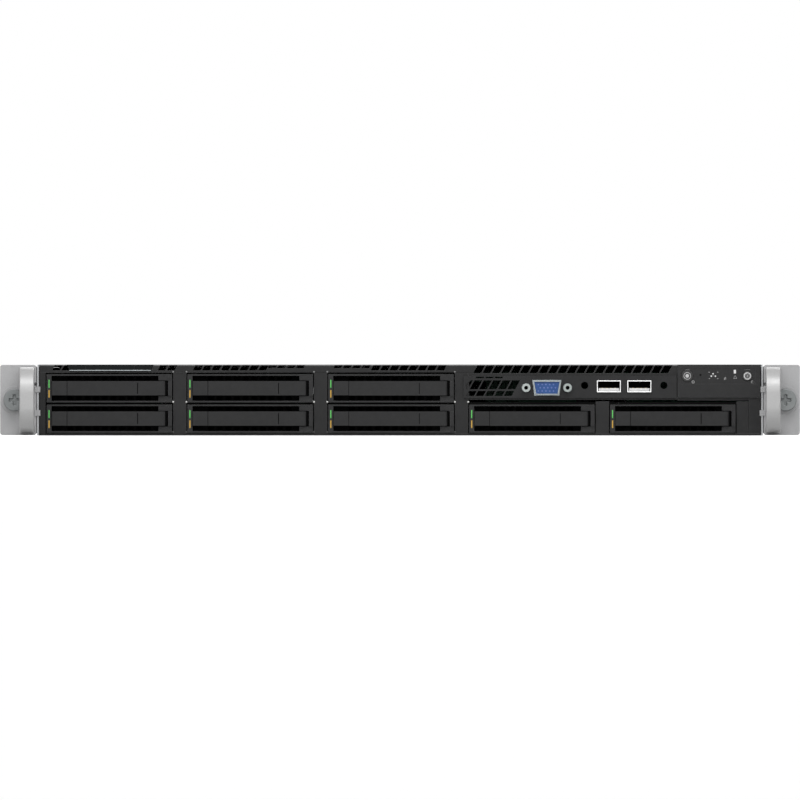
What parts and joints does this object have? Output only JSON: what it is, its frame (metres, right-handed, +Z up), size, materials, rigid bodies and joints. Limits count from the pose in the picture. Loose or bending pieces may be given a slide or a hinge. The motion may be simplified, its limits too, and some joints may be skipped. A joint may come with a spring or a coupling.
{
  "type": "1u rack server",
  "caption": "Rack server one unit high, with hot-swap drive bays, bow handles on its ears, front ports and plug-in power supplies.",
  "frame": {"origin": "midway between the two rack screws, on the ears' back face", "axes": "+Z up, the front faces -Y, +X to the right seen from the front"},
  "size_m": [0.4826, 0.764, 0.0428],
  "materials": {
    "zinc_sheet": "zinc-plated steel sheet, satin",
    "zinc_lid": "zinc-plated steel sheet, satin",
    "black_sheet": "black powder coat",
    "black_cage": "black coated steel",
    "black_io_sheet": "black powder coat",
    "black_moulding": "fine texture black",
    "grey_button": "grey, semi-gloss",
    "clear_button": "milky clear, semi-gloss",
    "black_tag": "glossy black with a green cast",
    "cast_silver": "silver grey paint, satin",
    "satin_handle": "silver grey paint, satin",
    "zinc_screw": "zinc plated, satin",
    "plated_port": "nickel plated",
    "board_green": "green solder mask",
    "cooler_aluminium": "extruded, bare",
    "module_green": "green solder mask with black chips",
    "black_duct": "fine texture black",
    "riser_sheet": "plated sheet and card",
    "zinc_stud": "zinc plated",
    "black_fan": "glass-filled black",
    "carrier_moulding": "fine texture black",
    "lever_moulding": "fine texture black",
    "release_moulding": "fine texture black",
    "grey_rotor": "dark grey",
    "supply_case": "plated steel case",
    "latch_moulding": "green touch point"
  },
  "bodies": {
    "chassis": {"chassis_tray": "zinc_sheet", "front_panel": "black_sheet", "drive_cage": "black_cage", "io_panel": "black_io_sheet", "control_panel": "black_moulding", "left_ear": "cast_silver", "right_ear": "cast_silver", "left_handle": "satin_handle", "right_handle": "satin_handle", "vga_port": "plated_port", "usb_ports": "plated_port", "drive_backplane": "board_green", "system_board": "board_green", "heatsinks": "cooler_aluminium", "memory_modules": "module_green", "air_duct": "black_duct", "riser_cards": "riser_sheet", "network_jacks": "plated_port", "rail_studs": "zinc_stud", "fan_housings": "black_fan"},
    "cover": {"top_cover": "zinc_lid"},
    "tag": {"tag_tray": "black_tag"},
    "power_key": {"power_button": "grey_button"},
    "ident_key": {"id_button": "clear_button"},
    "left_screw": {"left_rack_screw": "zinc_screw"},
    "right_screw": {"right_rack_screw": "zinc_screw"},
    "carrier_1": {"drive_carrier_1": "carrier_moulding"},
    "lever_1": {"carrier_lever_1": "lever_moulding"},
    "release_1": {"lever_release_1": "release_moulding"},
    "supply_1": {"power_supply_1": "supply_case"},
    "latch_1": {"psu_latch_1": "latch_moulding"},
    "rotor_1": {"fan_rotor_1": "grey_rotor"},
    "carrier_2": {"drive_carrier_2": "carrier_moulding"},
    "lever_2": {"carrier_lever_2": "lever_moulding"},
    "release_2": {"lever_release_2": "release_moulding"},
    "carrier_3": {"drive_carrier_3": "carrier_moulding"},
    "lever_3": {"carrier_lever_3": "lever_moulding"},
    "release_3": {"lever_release_3": "release_moulding"},
    "carrier_4": {"drive_carrier_4": "carrier_moulding"},
    "lever_4": {"carrier_lever_4": "lever_moulding"},
    "release_4": {"lever_release_4": "release_moulding"},
    "carrier_5": {"drive_carrier_5": "carrier_moulding"},
    "lever_5": {"carrier_lever_5": "lever_moulding"},
    "release_5": {"lever_release_5": "release_moulding"},
    "carrier_6": {"drive_carrier_6": "carrier_moulding"},
    "lever_6": {"carrier_lever_6": "lever_moulding"},
    "release_6": {"lever_release_6": "release_moulding"},
    "carrier_7": {"drive_carrier_7": "carrier_moulding"},
    "lever_7": {"carrier_lever_7": "lever_moulding"},
    "release_7": {"lever_release_7": "release_moulding"},
    "carrier_8": {"drive_carrier_8": "carrier_moulding"},
    "lever_8": {"carrier_lever_8": "lever_moulding"},
    "release_8": {"lever_release_8": "release_moulding"},
    "supply_2": {"power_supply_2": "supply_case"},
    "latch_2": {"psu_latch_2": "latch_moulding"},
    "rotor_2": {"fan_rotor_2": "grey_rotor"},
    "rotor_3": {"fan_rotor_3": "grey_rotor"},
    "rotor_4": {"fan_rotor_4": "grey_rotor"},
    "rotor_5": {"fan_rotor_5": "grey_rotor"},
    "rotor_6": {"fan_rotor_6": "grey_rotor"}
  },
  "joints": [
    {"name": "carrier_1_slide", "type": "slide", "parent": "chassis", "child": "carrier_1", "axis": [0, -1, 0], "range_m": [0, 0.12]},
    {"name": "lever_1_swing", "type": "hinge", "parent": "carrier_1", "child": "lever_1", "pos_m": [-0.1433, -0.0028, 0.00705], "axis": [0, 0, 1], "range_deg": [0, 60]},
    {"name": "release_1_press", "type": "slide", "parent": "carrier_1", "child": "release_1", "axis": [0, 1, 0], "range_m": [0, 0.0012], "stiffness_N_per_m": 800, "springref_m": -0.0012},
    {"name": "cover_slide", "type": "slide", "parent": "chassis", "child": "cover", "axis": [0, 1, 0], "range_m": [0, 0.012]},
    {"name": "tag_slide", "type": "slide", "parent": "chassis", "child": "tag", "axis": [0, -1, 0], "range_m": [0, 0.06]},
    {"name": "power_press", "type": "slide", "parent": "chassis", "child": "power_key", "axis": [0, 1, 0], "range_m": [0, 0.001], "stiffness_N_per_m": 900, "springref_m": -0.001},
    {"name": "ident_press", "type": "slide", "parent": "chassis", "child": "ident_key", "axis": [0, 1, 0], "range_m": [0, 0.001], "stiffness_N_per_m": 900, "springref_m": -0.001},
    {"name": "supply_1_slide", "type": "slide", "parent": "chassis", "child": "supply_1", "axis": [0, 1, 0], "range_m": [0, 0.2]},
    {"name": "supply_1_latch", "type": "slide", "parent": "supply_1", "child": "latch_1", "axis": [-1, 0, 0], "range_m": [0, 0.0025], "stiffness_N_per_m": 900, "springref_m": -0.002},
    {"name": "left_screw_turn", "type": "hinge", "parent": "chassis", "child": "left_screw", "pos_m": [-0.23255, 0, 0], "axis": [0, 1, 0], "continuous": true},
    {"name": "right_screw_turn", "type": "hinge", "parent": "chassis", "child": "right_screw", "pos_m": [0.23255, 0, 0], "axis": [0, 1, 0], "continuous": true},
    {"name": "fan_1_spin", "type": "hinge", "parent": "chassis", "child": "rotor_1", "pos_m": [-0.18, 0.15, -0.0002], "axis": [0, 1, 0], "continuous": true},
    {"name": "carrier_2_slide", "type": "slide", "parent": "chassis", "child": "carrier_2", "axis": [0, -1, 0], "range_m": [0, 0.12]},
    {"name": "lever_2_swing", "type": "hinge", "parent": "carrier_2", "child": "lever_2", "pos_m": [-0.1433, -0.0028, -0.01125], "axis": [0, 0, 1], "range_deg": [0, 60]},
    {"name": "release_2_press", "type": "slide", "parent": "carrier_2", "child": "release_2", "axis": [0, 1, 0], "range_m": [0, 0.0012], "stiffness_N_per_m": 800, "springref_m": -0.0012},
    {"name": "carrier_3_slide", "type": "slide", "parent": "chassis", "child": "carrier_3", "axis": [0, -1, 0], "range_m": [0, 0.12]},
    {"name": "lever_3_swing", "type": "hinge", "parent": "carrier_3", "child": "lever_3", "pos_m": [-0.0583, -0.0028, 0.00705], "axis": [0, 0, 1], "range_deg": [0, 60]},
    {"name": "release_3_press", "type": "slide", "parent": "carrier_3", "child": "release_3", "axis": [0, 1, 0], "range_m": [0, 0.0012], "stiffness_N_per_m": 800, "springref_m": -0.0012},
    {"name": "carrier_4_slide", "type": "slide", "parent": "chassis", "child": "carrier_4", "axis": [0, -1, 0], "range_m": [0, 0.12]},
    {"name": "lever_4_swing", "type": "hinge", "parent": "carrier_4", "child": "lever_4", "pos_m": [-0.0583, -0.0028, -0.01125], "axis": [0, 0, 1], "range_deg": [0, 60]},
    {"name": "release_4_press", "type": "slide", "parent": "carrier_4", "child": "release_4", "axis": [0, 1, 0], "range_m": [0, 0.0012], "stiffness_N_per_m": 800, "springref_m": -0.0012},
    {"name": "carrier_5_slide", "type": "slide", "parent": "chassis", "child": "carrier_5", "axis": [0, -1, 0], "range_m": [0, 0.12]},
    {"name": "lever_5_swing", "type": "hinge", "parent": "carrier_5", "child": "lever_5", "pos_m": [0.0267, -0.0028, 0.00705], "axis": [0, 0, 1], "range_deg": [0, 60]},
    {"name": "release_5_press", "type": "slide", "parent": "carrier_5", "child": "release_5", "axis": [0, 1, 0], "range_m": [0, 0.0012], "stiffness_N_per_m": 800, "springref_m": -0.0012},
    {"name": "carrier_6_slide", "type": "slide", "parent": "chassis", "child": "carrier_6", "axis": [0, -1, 0], "range_m": [0, 0.12]},
    {"name": "lever_6_swing", "type": "hinge", "parent": "carrier_6", "child": "lever_6", "pos_m": [0.0267, -0.0028, -0.01125], "axis": [0, 0, 1], "range_deg": [0, 60]},
    {"name": "release_6_press", "type": "slide", "parent": "carrier_6", "child": "release_6", "axis": [0, 1, 0], "range_m": [0, 0.0012], "stiffness_N_per_m": 800, "springref_m": -0.0012},
    {"name": "carrier_7_slide", "type": "slide", "parent": "chassis", "child": "carrier_7", "axis": [0, -1, 0], "range_m": [0, 0.12]},
    {"name": "lever_7_swing", "type": "hinge", "parent": "carrier_7", "child": "lever_7", "pos_m": [0.1117, -0.0028, -0.01125], "axis": [0, 0, 1], "range_deg": [0, 60]},
    {"name": "release_7_press", "type": "slide", "parent": "carrier_7", "child": "release_7", "axis": [0, 1, 0], "range_m": [0, 0.0012], "stiffness_N_per_m": 800, "springref_m": -0.0012},
    {"name": "carrier_8_slide", "type": "slide", "parent": "chassis", "child": "carrier_8", "axis": [0, -1, 0], "range_m": [0, 0.12]},
    {"name": "lever_8_swing", "type": "hinge", "parent": "carrier_8", "child": "lever_8", "pos_m": [0.1967, -0.0028, -0.01125], "axis": [0, 0, 1], "range_deg": [0, 60]},
    {"name": "release_8_press", "type": "slide", "parent": "carrier_8", "child": "release_8", "axis": [0, 1, 0], "range_m": [0, 0.0012], "stiffness_N_per_m": 800, "springref_m": -0.0012},
    {"name": "supply_2_slide", "type": "slide", "parent": "chassis", "child": "supply_2", "axis": [0, 1, 0], "range_m": [0, 0.2]},
    {"name": "supply_2_latch", "type": "slide", "parent": "supply_2", "child": "latch_2", "axis": [-1, 0, 0], "range_m": [0, 0.0025], "stiffness_N_per_m": 900, "springref_m": -0.002},
    {"name": "fan_2_spin", "type": "hinge", "parent": "chassis", "child": "rotor_2", "pos_m": [-0.108, 0.15, -0.0002], "axis": [0, 1, 0], "continuous": true},
    {"name": "fan_3_spin", "type": "hinge", "parent": "chassis", "child": "rotor_3", "pos_m": [-0.036, 0.15, -0.0002], "axis": [0, 1, 0], "continuous": true},
    {"name": "fan_4_spin", "type": "hinge", "parent": "chassis", "child": "rotor_4", "pos_m": [0.036, 0.15, -0.0002], "axis": [0, 1, 0], "continuous": true},
    {"name": "fan_5_spin", "type": "hinge", "parent": "chassis", "child": "rotor_5", "pos_m": [0.108, 0.15, -0.0002], "axis": [0, 1, 0], "continuous": true},
    {"name": "fan_6_spin", "type": "hinge", "parent": "chassis", "child": "rotor_6", "pos_m": [0.18, 0.15, -0.0002], "axis": [0, 1, 0], "continuous": true}
  ]
}
